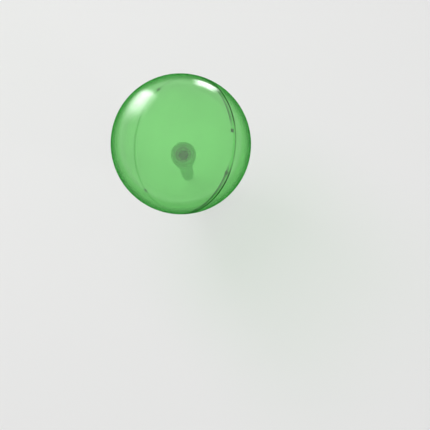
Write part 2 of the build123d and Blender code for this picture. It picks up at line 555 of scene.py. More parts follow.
class PlasticGroups:
    """The shader groups that all plastics share."""

    def __init__(self) -> None:
        """Builds each group once."""
        self.scuffs = self._scuff_group()
        self.moulding = self._moulding_group()

    @staticmethod
    def _scuff_group() -> Tree:
        """Builds the group that gives a mask of sparse hairline scuffs in three directions.

        Returns:
            The group.
        """
        inputs = {"Vector": VECTOR, "Scale": 60.0, "Width": 0.006, "Cover": 0.5}
        graph, given = new_tree("hairline_scuffs", "ShaderNodeTree", inputs, {"Mask": NUMBERS[float]})
        patch_scale = graph.times(given["Scale"], 0.9)
        stretch = (1.0, 1.0, 0.22)
        patch_low, patch_high = 0.54, 0.66
        masks = []
        for turn, start in (
            ((0.4, 0.24, 0.4), (3.1, 2.17, 0.0)),
            ((1.7, 1.02, 1.7), (11.7, 8.19, 0.0)),
            ((2.6, 1.56, 2.6), (23.9, 16.73, 0.0)),
        ):
            feeds = {"Vector": given["Vector"], "Location": start, "Rotation": turn, "Scale": stretch}
            place = graph.add("ShaderNodeMapping", feeds)
            wave = graph.noise(place, given["Scale"], Detail=1.0, Distortion=0.3)
            off = graph.maths("DIVIDE", graph.gap(wave, 0.5), given["Width"])
            line = graph.maths("SUBTRACT", 1.0, off, clamp=True)
            patch = graph.noise(place, patch_scale)
            masks.append(graph.times(line, graph.spread(patch, patch_low, patch_high, 0.0, given["Cover"])))
        first, second, third = masks
        both = graph.maths("MAXIMUM", first, second)
        graph.add("NodeGroupOutput", {0: graph.maths("MAXIMUM", both, third)})
        return graph.tree

    @staticmethod
    def _moulding_group() -> Tree:
        """Builds the group for moulded plastic: cloudy tone, flow rings about Z and a fine grain.

        Returns:
            The group.
        """
        inputs = {"Vector": VECTOR, "Cloud Scale": 30.0, "Ring Scale": 120.0, "Ring Share": 0.5}
        inputs |= {"Ring Wander": 2.2, "Grain Scale": 1500.0, "Grain Share": 0.3}
        outputs = {"Cloud": NUMBERS[float], "Height": NUMBERS[float]}
        graph, given = new_tree("moulded_surface", "ShaderNodeTree", inputs, outputs)
        place = given["Vector"]
        cloud = graph.noise(place, given["Cloud Scale"], Detail=3.0)
        outwards = graph.times(graph.off_axis(place), given["Ring Scale"])
        wave = graph.times(graph.maths("MULTIPLY_ADD", cloud, given["Ring Wander"], outwards), math.tau)
        rings = graph.maths("MULTIPLY_ADD", graph.maths("SINE", wave), 0.5, 0.5)
        grain = graph.times(graph.noise(place, given["Grain Scale"], Detail=2.0), given["Grain Share"])
        height = graph.maths("MULTIPLY_ADD", rings, given["Ring Share"], grain)
        graph.add("NodeGroupOutput", {0: cloud, 1: height})
        return graph.tree


@dataclass(frozen=True)
class SeamMarks:
    """Where the two shells meet, for the marks that their finish shows there, in metres.

    The tilt is in radians. A share of reach along X is 1 at the seam's high side and -1 at its low side.
    """

    tilt: float
    centre: float
    outer: float
    inner: float
    lap: float
    outer_line: float = 0.00066
    inner_line: float = 0.00086
    inner_rise: float = 0.0002
    edge: float = 0.00008
    low_side: float = -0.1
    full_side: float = 0.35
    shown_low: float = 0.05
    crest_turn: float = math.radians(9.0)
    crest_start: float = 0.92
    crest_end: float = 0.987
    outer_crest: float = 0.4
    inner_crest: float = 0.0
    lug_full: float = 0.0005
    lug_none: float = 0.00005
    inner_skin: float = 0.00002
    outer_skin: float = 0.00013
    joint_low: float = -0.0003
    joint_high: float = 0.0029

    def masks(self, graph: Graph, place: Socket) -> tuple[Node, Socket, Socket, Socket]:
        """Adds the nodes that find the seam.

        Args:
            graph: the material's graph.
            place: the object coordinates.

        Returns:
            The coordinates in the seam's frame, and the masks of the two parting lines, of the lugs and of
            the lap's glued faces inside the wall.
        """
        centred = graph.vector("SUBTRACT", place, (0.0, 0.0, self.centre))
        feeds = {"Vector": centred, "Rotation": (0.0, self.tilt, self.crest_turn)}
        level = graph.add("ShaderNodeMapping", feeds)
        x, _, z = graph.split(level)
        reach = graph.vector("LENGTH", level).outputs["Value"]
        middle = (self.outer + self.inner) / 2
        turn = graph.maths("DIVIDE", x, reach)
        lines = []
        for height, width, side_test, crest in (
            (0.0, self.outer_line, "GREATER_THAN", self.outer_crest),
            (self.lap + self.inner_rise, self.inner_line, "LESS_THAN", self.inner_crest),
        ):
            line = graph.spread(graph.gap(z, height), width - self.edge, width + self.edge, 1.0, 0.0)
            side = graph.maths(side_test, reach, middle)
            faint = graph.spread(turn, self.crest_start, self.crest_end, 1.0, crest)
            lines.append(graph.times(line, side, faint))
        shown = graph.spread(turn, self.low_side, self.full_side, self.shown_low, 1.0)
        lug = graph.spread(reach, self.inner - self.lug_full, self.inner - self.lug_none, 1.0, 0.0)
        glued = graph.times(
            graph.maths("GREATER_THAN", reach, self.inner + self.inner_skin),
            graph.maths("LESS_THAN", reach, self.outer - self.outer_skin),
            graph.maths("GREATER_THAN", z, self.joint_low),
            graph.maths("LESS_THAN", z, self.joint_high),
        )
        return level, graph.times(graph.maths("MAXIMUM", *lines), shown), lug, glued


@dataclass(frozen=True, kw_only=True)
class MouldedPlastic:
    """What all plastics have: a cloudy tone, scuffs, flow rings and grain. Lengths are in metres."""

    name: str
    roughness: float = 0.3
    cloud_roughness: float = 1.25
    cloud_shade: float = 0.86
    cloud_scale: float = 90.0
    cloud_low: float = 0.3
    cloud_high: float = 0.7
    scuff_scale: float = 110.0
    scuff_roughness: float = -0.08
    ring_scale: float = 120.0
    ring_share: float = 0.0
    grain_scale: float = 2600.0
    grain_share: float = 1.0
    grain_depth: float = 0.00002
    bump: float = 0.5

    def marks(self, graph: Graph, groups: PlasticGroups, place: Any, level: Any) -> tuple[Any, ...]:
        """Places both shared groups in a material.

        Args:
            graph: the material's graph.
            groups: the shared shader groups.
            place: the object coordinates.
            level: the coordinates about whose Z the flow rings run.

        Returns:
            The cloud from 0 to 1, the scuffs, and what the shader's roughness and normal take.
        """
        feeds = {"Vector": place, "Scale": self.scuff_scale}
        scuffs = graph.add("ShaderNodeGroup", feeds, node_tree=groups.scuffs)
        feeds = {"Vector": level, "Cloud Scale": self.cloud_scale, "Grain Scale": self.grain_scale}
        feeds |= {"Grain Share": self.grain_share, "Ring Scale": self.ring_scale}
        feeds["Ring Share"] = self.ring_share
        cloud, height = graph.add("ShaderNodeGroup", feeds, node_tree=groups.moulding).outputs
        cloud = graph.spread(cloud, self.cloud_low, self.cloud_high, 0.0, 1.0)
        dull = graph.spread(cloud, 0.0, 1.0, self.roughness, self.roughness * self.cloud_roughness)
        rough = graph.maths("ADD", dull, graph.times(scuffs, self.scuff_roughness))
        feeds = {"Strength": self.bump, "Distance": self.grain_depth, "Height": height}
        return cloud, scuffs, {"Roughness": rough, "Normal": graph.add("ShaderNodeBump", feeds)}


@dataclass(frozen=True, kw_only=True)
class ClearPlastic(MouldedPlastic):
    """Polished see-through plastic, coloured right through its wall."""

    tint: Triple = (0.60, 0.94, 0.57)
    # The rim colour is partly the deeper green of the longer path through the wall and partly painted shade
    # at the ball's edge.
    rim_depth_and_shade: Triple = (0.07, 0.40, 0.07)
    line_tint: Triple = (0.0003, 0.03, 0.0005)
    lug_tint: Triple = (0.0005, 0.01, 0.0005)
    rim_start: float = 0.6
    rim_end: float = 0.82
    clearness: float = 0.88
    absorbed: Triple = (0.12, 0.78, 0.10)
    density: float = 200.0
    index: float = 1.49
    roughness: float = 0.02
    cloud_roughness: float = 1.6
    scuff_roughness: float = 0.12
    cloud_shade: float = 0.96
    scuff_scale: float = 60.0
    cloud_scale: float = 30.0
    ring_scale: float = 160.0
    ring_share: float = 0.25
    grain_scale: float = 900.0
    grain_share: float = 0.03
    bump: float = 1.0
    seam: SeamMarks | None = None

    def build(self, groups: PlasticGroups) -> Material:
        """Builds the material.

        Args:
            groups: the shared shader groups.

        Returns:
            The material.
        """
        material, graph = new_material(self.name)
        place = graph.add("ShaderNodeTexCoord").outputs["Object"]
        level, lines, lugs, glued = self.seam.masks(graph, place) if self.seam else (place, None, None, None)
        cloud, _, finish = self.marks(graph, groups, place, level)
        tone = graph.mixed(cloud, tuple(part * self.cloud_shade for part in self.tint), self.tint)
        # Darker towards the rim as the surface turns away: partly the longer path through the wall, partly
        # painted shade.
        facing = graph.add("ShaderNodeLayerWeight", {0: 0.5}).outputs["Facing"]
        tone = graph.mixed(graph.spread(facing, self.rim_start, self.rim_end, 0.0, 1.0), tone, self.rim_depth_and_shade)
        if self.seam:
            tone = graph.mixed(lines, graph.mixed(lugs, tone, self.lug_tint), self.line_tint)
        feeds = {"Base Color": tone, "IOR": self.index, "Transmission Weight": self.clearness, **finish}
        shell = surface = graph.add("ShaderNodeBsdfPrincipled", feeds)
        shade = graph.add("ShaderNodeBsdfTransparent", {0: tuple(math.sqrt(part) for part in self.tint)})
        rays = graph.add("ShaderNodeLightPath").outputs
        if self.seam:
            # Refracted light passes the lap's glued faces as if the wall were one there.
            joint = graph.blend(glued, shell, shade)
            surface = graph.blend(rays["Is Transmission Ray"], shell, joint)
        surface = graph.blend(rays["Is Shadow Ray"], surface, shade)
        inside = graph.add("ShaderNodeVolumeAbsorption", {"Color": self.absorbed, "Density": self.density})
        graph.add("ShaderNodeOutputMaterial", {"Surface": surface, "Volume": inside})
        return material


@dataclass(frozen=True, kw_only=True)
class SolidPlastic(MouldedPlastic):
    """Moulded plastic or rubber that light doesn't pass, with paler scuffs."""

    colour: Triple
    index: float = 1.5
    scuff_cover: float = 0.35
    scuff_gain: float = 1.5
    scuff_lift: float = 0.03

    def build(self, groups: PlasticGroups) -> Material:
        """Builds the material.

        Args:
            groups: the shared shader groups.

        Returns:
            The material.
        """
        material, graph = new_material(self.name)
        place = graph.add("ShaderNodeTexCoord").outputs["Object"]
        cloud, scuffs, finish = self.marks(graph, groups, place, place)
        tone = graph.mixed(cloud, tuple(part * self.cloud_shade for part in self.colour), self.colour)
        pale = tuple(min(1, part * self.scuff_gain + self.scuff_lift) for part in self.colour)
        worn = graph.mixed(graph.times(scuffs, self.scuff_cover), tone, pale)
        body = graph.add("ShaderNodeBsdfPrincipled", {"Base Color": worn, "IOR": self.index, **finish})
        graph.add("ShaderNodeOutputMaterial", {"Surface": body})
        return material


class Shade(Enum):
    """The colours of the solid pieces and of the studio."""

    STEM_GREEN = (0.085, 0.42, 0.12)
    SEAL_BLACK = (0.018, 0.019, 0.02)
    PALE_FLOOR = (0.77, 0.77, 0.765)
    PALE_ROOM = (0.76, 0.76, 0.755)
    LIGHT_WHITE = (1.0, 1.0, 1.0)
    CARD_GREEN = (0.02, 0.22, 0.03)


@dataclass(frozen=True)
class Stack:
    """Heights and fits that more than one sub-assembly uses, in millimetres.

    Those from the socket's floor on follow from the others. The seal's ring is the circle through the
    middle of its section.
    """

    sleeve_depth: float = 9.0
    ledge_wall: float = 1.2
    neck_gap: float = 0.8
    neck_length: float = 12.0
    collar_drop: float = 1.2
    collar_radius: float = 8.6
    ball_radius: float = 42.5
    ball_wall: float = 1.4
    boss_radius: float = 7.2
    neck_radius: float = 6.0
    neck_clearance: float = 0.08
    tube_radius: float = 5.5
    tube_wall: float = 1.5
    tube_length: float = 110.0
    glue_clearance: float = 0.05
    seal_section: float = 0.8
    seal_clearance: float = 0.05
    seal_below_collar: float = 5.0

    socket_floor: float = sleeve_depth + ledge_wall
    socket_top: float = socket_floor + neck_gap + neck_length
    ball_bottom: float = socket_top + collar_drop
    ball_centre: float = ball_bottom + ball_radius
    ball_inner: float = ball_radius - ball_wall
    socket_bore: float = neck_radius + neck_clearance
    seal_height: float = socket_top - seal_below_collar
    seal_ring: float = socket_bore - seal_clearance - seal_section
    tube_bore: float = tube_radius - tube_wall


@dataclass
class Ball:
    """The hollow ball: two half shells that lap at an oblique seam, with their lugs and notches."""

    stack: Stack
    seam_tilt: float = 41.5
    lap_height: float = 1.6
    tongue_wall: float = 0.65
    lap_clearance: float = 0.05
    seam_edge: float = 0.12
    near_lug: float = 17.0
    far_lug: float = 127.0
    lug_turn: float = -14.0
    lug_width: float = 2.0
    lug_depth: float = 0.8
    lug_rise: float = 1.0
    lug_ramp: float = 1.0
    lug_lead: float = 0.4
    lug_root: float = 0.3
    lug_toe: float = 0.01
    lug_foot: float = 0.02
    notch_clearance: float = 0.1
    notch_reach: float = 1.0
    notch_drop: float = 0.5
    drill_below: float = 1.0
    drill_above: float = 4.0
    drill_segments: int = 96
    segments: int = 240
    arc_steps: int = 76

    def seam_matrix(self) -> Matrix:
        """The seam's own frame, in metres."""
        lift = Matrix.Translation((0, 0, self.stack.ball_centre * MM))
        return lift @ Matrix.Rotation(math.radians(-self.seam_tilt), 4, "Y")

    def upper_outline(self) -> Outline:
        """Outline of the upper dome with its rebate, in the seam's frame.

        Returns:
            The outline, in millimetres.
        """
        outer, inner = self.stack.ball_radius, self.stack.ball_inner
        rebate = inner + self.tongue_wall + self.lap_clearance
        depth = self.lap_height + self.lap_clearance
        shelf = math.degrees(math.asin(depth / inner))
        start = math.degrees(math.asin(self.seam_edge / outer))
        outline = Outline().to(rebate, depth, CRISP).to(rebate, 0).to(outer - self.seam_edge, 0)
        return outline.arc(0, outer, start, 90, self.arc_steps).arc(0, inner, 90, shelf, self.arc_steps)

    def lower_outline(self) -> Outline:
        """Outline of the lower bowl with its tongue, in the seam's frame.

        Returns:
            The outline, in millimetres.
        """
        outer, inner = self.stack.ball_radius, self.stack.ball_inner
        tongue = inner + self.tongue_wall
        start = math.degrees(math.asin(self.seam_edge / outer))
        outline = Outline().arc(0, inner, -90, 0, self.arc_steps)
        outline.to(inner, self.lap_height, LIP).to(tongue, self.lap_height, LIP)
        outline.to(tongue, 0, CRISP).to(outer - self.seam_edge, 0)
        return outline.arc(0, outer, -start, -90, self.arc_steps)

    def lug_blank(self) -> Piece:
        """One locating lug at the seam's high side, in the seam's frame.

        Returns:
            The blank.
        """
        inner, top = self.stack.ball_inner, self.lap_height + self.lug_rise
        root, face = inner + self.lug_root, inner - self.lug_depth
        half = self.lug_width / 2
        corners = [
            (root, -half, top),
            (face + self.lug_lead, -half, top),
            (face, -half, top - self.lug_lead),
            (face, -half, self.lug_ramp),
            (inner + self.lug_toe, -half, self.lug_foot),
            (root, -half, self.lug_foot),
        ]
        return prism("lug_blank", corners, Vector((0, self.lug_width, 0)))

    def notch_blank(self) -> Piece:
        """The cutter for one lug's notch, in the seam's frame.

        Returns:
            The blank.
        """
        inside = self.stack.ball_inner - self.lug_depth - self.notch_reach
        outside = self.stack.ball_inner + self.lug_root + self.notch_clearance
        top = self.lap_height + self.lug_rise + self.notch_clearance
        half = self.lug_width / 2 + self.notch_clearance
        flat = [(inside, top), (outside, top), (outside, -self.notch_drop), (inside, -self.notch_drop)]
        return prism("notch_blank", [(x, -half, z) for x, z in flat], Vector((0, 2 * half, 0)))

    def cut_neck_hole(self, lower: Piece) -> None:
        """Cuts the hole that takes the neck's boss.

        Args:
            lower: the lower shell.
        """
        radius = self.stack.boss_radius + self.stack.glue_clearance
        low, high = self.stack.ball_bottom - self.drill_below, self.stack.ball_bottom + self.drill_above
        outline = Outline().to(0, low).to(radius, low).to(radius, high).to(0, high)
        drill = turned("neck_drill", outline, self.drill_segments)
        cut = lower.modifiers.new("hole", "BOOLEAN")
        cut.object, cut.operation, cut.solver = drill, "DIFFERENCE", "EXACT"
        keep_result(lower)
        discard(drill)

    def build(self, rules: Rules, clear: Material) -> None:
        """Builds and dresses both shells.

        Args:
            rules: the geometry trees.
            clear: the shells' material.
        """
        angles = {"Near Angle": self.near_lug, "Far Angle": self.far_lug, "Turn": self.lug_turn}
        places = {label: math.radians(angle) for label, angle in angles.items()}
        places["Material"] = clear
        for name, node, outline, rule, blank in (
            ("upper_dome", "upper_shell", self.upper_outline(), rules.notches, self.notch_blank()),
            ("lower_bowl", "lower_shell", self.lower_outline(), rules.lugs, self.lug_blank()),
        ):
            shell = turned(name, outline, self.segments)
            apply_rule(shell, rule, places, blank)
            shell.data.transform(self.seam_matrix())
            if rule is rules.lugs:
                self.cut_neck_hole(shell)
            settle(shell, node, "globe", clear)


@dataclass
class Neck:
    """The neck glued into the lower shell, with its funnel, collar, spigot and rubber ring."""

    stack: Stack
    collar_edge: float = 0.4
    neck_edge: float = 0.6
    bore: float = 3.5
    funnel_radius: float = 6.5
    funnel_depth: float = 2.8
    funnel_round: float = 1.5
    seat_steps: int = 6
    groove_width: float = 2.0
    flash: float = 0.04
    ring_steps: int = 40
    ring_crease: float = 60.0
    segments: int = 144

    def outline(self) -> Outline:
        """Outline of the neck.

        Returns:
            The outline, in millimetres.
        """
        stack = self.stack
        seat = stack.ball_radius + stack.glue_clearance
        boss_top = stack.ball_centre - math.sqrt(stack.ball_inner**2 - stack.boss_radius**2)
        boss_angle = -math.degrees(math.acos(stack.boss_radius / seat))
        collar_angle = -math.degrees(math.acos(stack.collar_radius / seat))
        groove_floor = stack.seal_ring - stack.seal_section - stack.seal_clearance
        low, high = stack.seal_height - self.groove_width / 2, stack.seal_height + self.groove_width / 2
        neck_end = stack.socket_top - stack.neck_length
        outline = Outline().to(self.bore, boss_top - self.funnel_depth, self.funnel_round)
        outline.to(self.funnel_radius, boss_top, EDGE).to(stack.boss_radius, boss_top, EDGE)
        outline.arc(stack.ball_centre, seat, boss_angle, collar_angle, self.seat_steps)
        outline.to(stack.collar_radius, stack.socket_top + self.collar_edge, SOFT)
        outline.to(stack.collar_radius - self.collar_edge, stack.socket_top, SOFT)
        outline.to(stack.neck_radius, stack.socket_top, FINE)
        outline.to(stack.neck_radius, high, LIP).to(groove_floor, high, EDGE)
        outline.to(groove_floor, low, EDGE).to(stack.neck_radius, low, LIP)
        outline.to(stack.neck_radius, neck_end + self.neck_edge, SOFT)
        outline.to(stack.neck_radius - self.neck_edge, neck_end, SOFT)
        return outline.to(self.bore, neck_end, SOFT)

    def ring_outline(self) -> Outline:
        """Outline of the rubber ring, with the fine flash of its mould.

        Returns:
            The outline, in millimetres.
        """
        stack = self.stack
        outline = Outline()
        for step in range(self.ring_steps):
            angle = math.tau * step / self.ring_steps
            reach = stack.seal_section + (self.flash if step in (0, self.ring_steps // 2) else 0.0)
            outline.to(stack.seal_ring + reach * math.cos(angle), stack.seal_height + reach * math.sin(angle))
        return outline

    def build(self, clear: Material, rubber: Material) -> None:
        """Builds and dresses the neck and its ring.

        Args:
            clear: the neck's material.
            rubber: the ring's material.
        """
        settle(turned("neck_spigot", self.outline(), self.segments), "neck", "globe", clear)
        ring = turned("seal_ring", self.ring_outline(), self.segments)
        settle(ring, "neck_seal", "seal", rubber, self.ring_crease)


@dataclass
class Stem:
    """What stays in place when the ball is lifted off: fluted socket, tube and slotted drip tip."""

    stack: Stack
    mouth_lead: float = 0.5
    rim_height: float = 2.6
    rim_edge: float = 0.5
    grip_radius: float = 8.1
    grip_base: float = 6.0
    foot_radius: float = 7.1
    foot_edge: float = 0.7
    flute_count: int = 14
    flute_edges: int = 20
    flute_radius: float = 1.2
    flute_depth: float = 0.4
    flute_margin: float = 0.9
    sleeve_steps: int = 8
    grip_steps: int = 64
    tube_steps: int = 24
    tube_end_wall: float = 1.0
    tube_end_gap: float = 0.3
    tube_end_edge: float = 0.3
    plug_length: float = 8.0
    plug_edge: float = 0.5
    tip_radius: float = 5.2
    shoulder_edge: float = 0.4
    body_length: float = 13.0
    body_steps: int = 20
    cone_length: float = 17.0
    cone_round: float = 1.2
    point_radius: float = 1.0
    point_steps: int = 10
    tip_bore: float = 2.4
    bore_cone: float = 0.58
    slot_count: int = 4
    slot_turn: float = 45.0
    slot_width: float = 1.8
    slot_length: float = 8.0
    slot_top_gap: float = 2.5
    slot_steps: int = 12
    cutter_reach: float = 1.0
    segments: int = 96

    @property
    def tube_end(self) -> float:
        """Radius of the tube's reduced end."""
        return self.stack.tube_bore + self.tube_end_wall

    def socket_outline(self) -> Outline:
        """Outline of the socket.

        Returns:
            The outline, in millimetres.
        """
        stack = self.stack
        sleeve = self.tube_end + stack.glue_clearance
        rim, rim_low = stack.collar_radius, stack.socket_top - self.rim_height
        outline = Outline().to(sleeve, stack.sleeve_depth).run(sleeve, 0, self.sleeve_steps, EDGE)
        outline.to(self.foot_radius - self.foot_edge, 0, BROAD).to(self.foot_radius, self.foot_edge, WIDE)
        outline.to(self.grip_radius, self.grip_base, FULL)
        outline.run(self.grip_radius, rim_low - (rim - self.grip_radius), self.grip_steps, SOFT)
        outline.to(rim, rim_low, SOFT).to(rim, stack.socket_top - self.rim_edge, BROAD)
        outline.to(rim - self.rim_edge, stack.socket_top, SOFT)
        outline.to(stack.socket_bore + self.mouth_lead, stack.socket_top, EDGE)
        outline.to(stack.socket_bore, stack.socket_top - self.mouth_lead, BROAD)
        outline.to(stack.socket_bore, stack.socket_floor, SOFT)
        return outline.to(stack.tube_bore, stack.socket_floor, EDGE).to(stack.tube_bore, stack.sleeve_depth)

    def tube_outline(self) -> Outline:
        """Outline of the tube with its reduced end.

        Returns:
            The outline, in millimetres.
        """
        stack = self.stack
        top, bottom = stack.sleeve_depth - self.tube_end_gap, -stack.tube_length
        outline = Outline().to(stack.tube_bore, bottom, FINE).to(stack.tube_radius, bottom, EDGE)
        outline.run(stack.tube_radius, 0, self.tube_steps, FINE).to(self.tube_end, 0, FINE)
        outline.to(self.tube_end, top - self.tube_end_edge, FINE)
        return outline.to(self.tube_end - self.tube_end_edge, top, FINE).to(stack.tube_bore, top, FINE)

    def tip_outline(self) -> Outline:
        """Outline of the drip tip with its blind bore.

        Returns:
            The outline, in millimetres.
        """
        stack = self.stack
        plug = stack.tube_bore - stack.glue_clearance
        shoulder, top = -stack.tube_length, self.plug_length - stack.tube_length
        cone_top = shoulder - self.body_length
        centre = cone_top - self.cone_length + self.point_radius
        drop = cone_top - centre
        slope = math.hypot(self.tip_radius, drop)
        side = math.degrees(math.atan2(self.tip_radius, drop) - math.asin(self.point_radius / slope))
        bore_end = shoulder - self.slot_top_gap - self.slot_length
        outline = Outline().to(self.tip_bore, top, SOFT).to(plug - self.plug_edge, top, EDGE)
        outline.to(plug, top - self.plug_edge, SOFT).to(plug, shoulder)
        outline.to(self.tip_radius - self.shoulder_edge, shoulder, EDGE)
        outline.to(self.tip_radius, shoulder - self.shoulder_edge, BLUNT)
        outline.run(self.tip_radius, cone_top, self.body_steps, self.cone_round)
        outline.arc(centre, self.point_radius, -side, -90, self.point_steps)
        return outline.to(0, bore_end - self.tip_bore * self.bore_cone).to(self.tip_bore, bore_end)

    def slot_blank(self) -> Piece:
        """The cutter for one outlet slot with round ends, from within the bore outwards.

        Returns:
            The blank.
        """
        middle = -self.stack.tube_length - self.slot_top_gap - self.slot_length / 2
        reach, radius = (self.slot_length - self.slot_width) / 2, self.slot_width / 2
        inside = self.tip_bore / 2
        corners = []
        for start, end in ((0, reach), (180, -reach)):
            for step in range(self.slot_steps + 1):
                angle = math.radians(start + 180 / self.slot_steps * step)
                corners.append((inside, radius * math.cos(angle), middle + end + radius * math.sin(angle)))
        return prism("slot_blank", corners, Vector((self.tip_radius + self.cutter_reach - inside, 0, 0)))

    def build(self, rules: Rules, solid: Material) -> None:
        """Builds and dresses the socket, the tube and the tip.

        Args:
            rules: the geometry trees.
            solid: the material of all three.
        """
        stack = self.stack
        low = self.grip_base + self.flute_margin + self.flute_radius
        high = stack.socket_top - self.rim_height - self.flute_margin - self.flute_radius
        flutes = {"Count": self.flute_count, "Material": solid}
        for label, length in (
            ("Grip Radius", self.grip_radius),
            ("Least Radius", (self.grip_radius + stack.socket_bore) / 2),
            ("Flute Radius", self.flute_radius),
            ("Depth", self.flute_depth),
            ("Middle", (low + high) / 2),
            ("Half Length", (high - low) / 2),
        ):
            flutes[label] = length * MM
        cup = turned("fluted_socket", self.socket_outline(), self.flute_count * self.flute_edges)
        apply_rule(cup, rules.flutes, flutes)
        settle(cup, "neck_socket", "stem", solid)
        tube = turned("soil_tube", self.tube_outline(), self.segments)
        settle(tube, "stem_tube", "stem", solid)
        tip = turned("slotted_tip", self.tip_outline(), self.segments)
        slots = {"Count": self.slot_count, "Turn": math.radians(self.slot_turn), "Material": solid}
        apply_rule(tip, rules.slots, slots, self.slot_blank())
        settle(tip, "drip_tip", "stem", solid)


@dataclass(frozen=True)
class Lamp:
    """One soft lamp: its place, what it points at and its sides in metres, and its power in watts.

    A lamp that lights all isn't mirrored. A sheen lamp lights only the satin pieces, and is mirrored in them.
    """

    name: str
    place: Triple
    target: Triple
    sides: Pair
    power: float

    def build(self, satin: bpy.types.Collection | None = None) -> None:
        """Adds the lamp to the scene.

        Args:
            satin: the pieces that a sheen lamp lights.
        """
        data = bpy.data.lights.new(self.name, "AREA")
        data.shape = "RECTANGLE"
        data.size, data.size_y = self.sides
        data.energy = self.power
        lamp = bpy.data.objects.new(self.name, data)
        bpy.context.scene.collection.objects.link(lamp)
        turn = (Vector(self.target) - Vector(self.place)).to_track_quat("-Z", "Y").to_matrix().to_4x4()
        lamp.matrix_world = Matrix.Translation(self.place) @ turn
        lamp.visible_camera = lamp.visible_transmission = False
        if satin:
            lamp.light_linking.receiver_collection = satin
            lamp.visible_diffuse = False
        else:
            lamp.visible_glossy = False


def only_mirrored(card: Piece, material: Material) -> None:
    """Dresses a studio card and lets it show in reflections and nowhere else.

    Args:
        card: the card.
        material: the card's material.
    """
    card.data.materials.append(material)
    for kind in ("camera", "diffuse", "transmission", "volume_scatter", "shadow"):
        setattr(card, f"visible_{kind}", False)


@dataclass(frozen=True)
class WhiteCard:
    """A bright curved card with soft edges that is only mirrored, and only near one spot of the ball.

    It stands for a lamp box with a honeycomb grid, which shines at that spot: where the ball mirrors
    the card's middle to the eye. Across and along are its sides, sideways and upwards as the ball
    sees them, in millimetres. The fades are the shares of the card over which its edges soften: left,
    right, low and high. Inside the first angle of the grid it shines in full, past the second not at all.
    """

    name: str
    ball_centre: Vector
    ball_radius: float
    eye: Vector
    centre: Vector
    across: Pair
    along: Pair
    fades: tuple[float, float, float, float]
    strength: float
    grid: Pair = (3.0, 5.5)
    reach: float = 250.0
    steps: int = 24
    tries: int = 8

    def spot(self) -> Vector:
        """Finds the spot of the ball that mirrors the card's middle to the eye.

        Returns:
            The spot in millimetres.
        """
        spot = self.ball_centre
        for _ in range(self.tries):
            to_eye, to_card = (self.eye - spot).normalized(), (self.centre - spot).normalized()
            spot = self.ball_centre + (to_eye + to_card).normalized() * self.ball_radius
        return spot

    def sheet(self) -> Piece:
        """Makes the card as a piece of a sphere round its spot.

        Returns:
            The card, with a UV map from 0 to 1.
        """
        spot = self.spot()
        away = (self.centre - self.ball_centre).normalized()
        side = Vector((0, 0, 1)).cross(away).normalized()
        rise = away.cross(side)
        across, along = (side * sides[0] + rise * sides[1] for sides in (self.across, self.along))
        row = self.steps + 1
        places = [(index % row / self.steps, index // row / self.steps) for index in range(row * row)]
        corners = []
        for u, v in places:
            flat = self.centre + across * (u - 0.5) + along * (v - 0.5)
            corners.append((spot + (flat - spot).normalized() * self.reach) * MM)
        starts = [index for index in range(self.steps * row) if index % row < self.steps]
        faces = [(start, start + 1, start + row + 1, start + row) for start in starts]
        card = new_piece(self.name, corners, faces, closed=False)
        card.data.shade_smooth()
        layer = card.data.uv_layers.new(name="card")
        for loop, point in zip(card.data.loops, layer.data):
            point.uv = places[loop.vertex_index]
        return card

    def build(self) -> None:
        """Adds the card."""
        material, graph = new_material(self.name)
        u, v, _ = graph.split(graph.add("ShaderNodeUVMap", uv_map="card"))
        left, right, low, high = self.fades
        slant = graph.add("ShaderNodeLayerWeight", {0: 0.5}).outputs["Facing"]
        full, none = (1.0 - math.cos(math.radians(angle)) for angle in self.grid)
        share = graph.times(
            graph.spread(u, 0.0, left, 0.0, 1.0),
            graph.spread(u, 1.0 - right, 1.0, 1.0, 0.0),
            graph.spread(v, 0.0, low, 0.0, 1.0),
            graph.spread(v, 1.0 - high, 1.0, 1.0, 0.0),
            graph.spread(slant, full, none, 1.0, 0.0),
        )
        glow = graph.add("ShaderNodeEmission", {1: graph.times(share, self.strength)})
        surface = graph.blend(share, graph.add("ShaderNodeBsdfTransparent"), glow)
        graph.add("ShaderNodeOutputMaterial", {"Surface": surface})
        only_mirrored(self.sheet(), material)


